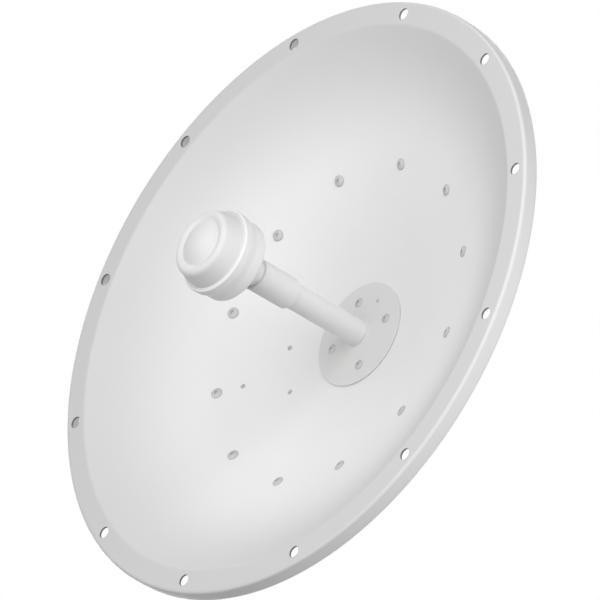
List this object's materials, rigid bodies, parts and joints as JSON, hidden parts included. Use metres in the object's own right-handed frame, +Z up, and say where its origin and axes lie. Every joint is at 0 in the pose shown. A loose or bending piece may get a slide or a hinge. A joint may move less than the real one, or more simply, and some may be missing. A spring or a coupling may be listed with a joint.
{
  "type": "parabolic dish antenna",
  "caption": "White solid parabolic dish antenna with a boom feed at its focus, a pressed back pan and a galvanised bracket that clamps to a mast and tilts in elevation.",
  "frame": {"origin": "on the mast axis, midway between the two clamps and level with the elevation pivot", "axes": "+Z up along the mast, beam along -Y, +X to the right seen from in front of the dish"},
  "size_m": [0.65, 0.3612, 0.65],
  "materials": {
    "white_coat": "white powder coat, satin",
    "white_plastic": "white moulded weatherproof plastic",
    "galvanised_steel": "hot-dip galvanised, spangled",
    "cast_alloy": "as cast, sand texture",
    "screw_steel": "stainless, satin",
    "zinc_steel": "bright zinc plate",
    "nickel": "nickel plate",
    "gilt_brass": "gold plate",
    "seal_rubber": "moulded rubber",
    "grey_plug": "soft moulded plastic, light grey",
    "laminate": "glass-fibre laminate",
    "white_insulator": "turned insulator",
    "cable_jacket": "extruded jacket"
  },
  "bodies": {
    "mast_mount": {"pole_bracket": "galvanised_steel", "upper_saddle": "cast_alloy", "lower_saddle": "cast_alloy", "pivot_bolts": "zinc_steel", "pivot_washers": "zinc_steel", "pivot_nuts": "zinc_steel", "lock_bolts": "zinc_steel", "lock_washers": "zinc_steel", "lock_nuts": "zinc_steel", "clamp_washers": "zinc_steel", "clamp_nuts": "zinc_steel"},
    "dish": {"reflector": "white_coat", "feed_flange": "white_coat", "feed_tube": "white_coat", "feed_sleeve": "white_coat", "feed_cup": "white_plastic", "feed_cap": "white_plastic", "back_pan": "galvanised_steel", "tilt_bracket": "galvanised_steel", "clamp_plate": "galvanised_steel", "splash_plate": "cast_alloy", "cup_stop": "cast_alloy", "cup_nut": "cast_alloy", "pan_screws": "screw_steel", "flange_screws": "screw_steel", "index_pin": "screw_steel", "pan_nuts": "zinc_steel", "flange_nuts": "zinc_steel", "bracket_bolts": "zinc_steel", "bracket_washers": "zinc_steel", "bracket_nuts": "zinc_steel", "rf_ports": "nickel", "port_nuts": "nickel", "port_contacts": "gilt_brass", "flange_gasket": "seal_rubber", "tube_plug": "seal_rubber", "cap_seal": "seal_rubber", "port_seals": "seal_rubber", "drain_plugs": "grey_plug", "dipole_board": "laminate", "dipole_post": "white_insulator", "port_insulators": "white_insulator", "coax_lines": "cable_jacket"},
    "upper_clamp": {"upper_u_bolt": "zinc_steel"},
    "lower_clamp": {"lower_u_bolt": "zinc_steel"}
  },
  "joints": [
    {"name": "elevation", "type": "hinge", "parent": "mast_mount", "child": "dish", "pos_m": [0, -0.045, 0], "axis": [-1, 0, 0], "range_deg": [-15, 15]},
    {"name": "upper_clamp_slide", "type": "slide", "parent": "mast_mount", "child": "upper_clamp", "axis": [0, 1, 0], "range_m": [-0.01, 0.004]},
    {"name": "lower_clamp_slide", "type": "slide", "parent": "mast_mount", "child": "lower_clamp", "axis": [0, 1, 0], "range_m": [-0.01, 0.004]}
  ]
}
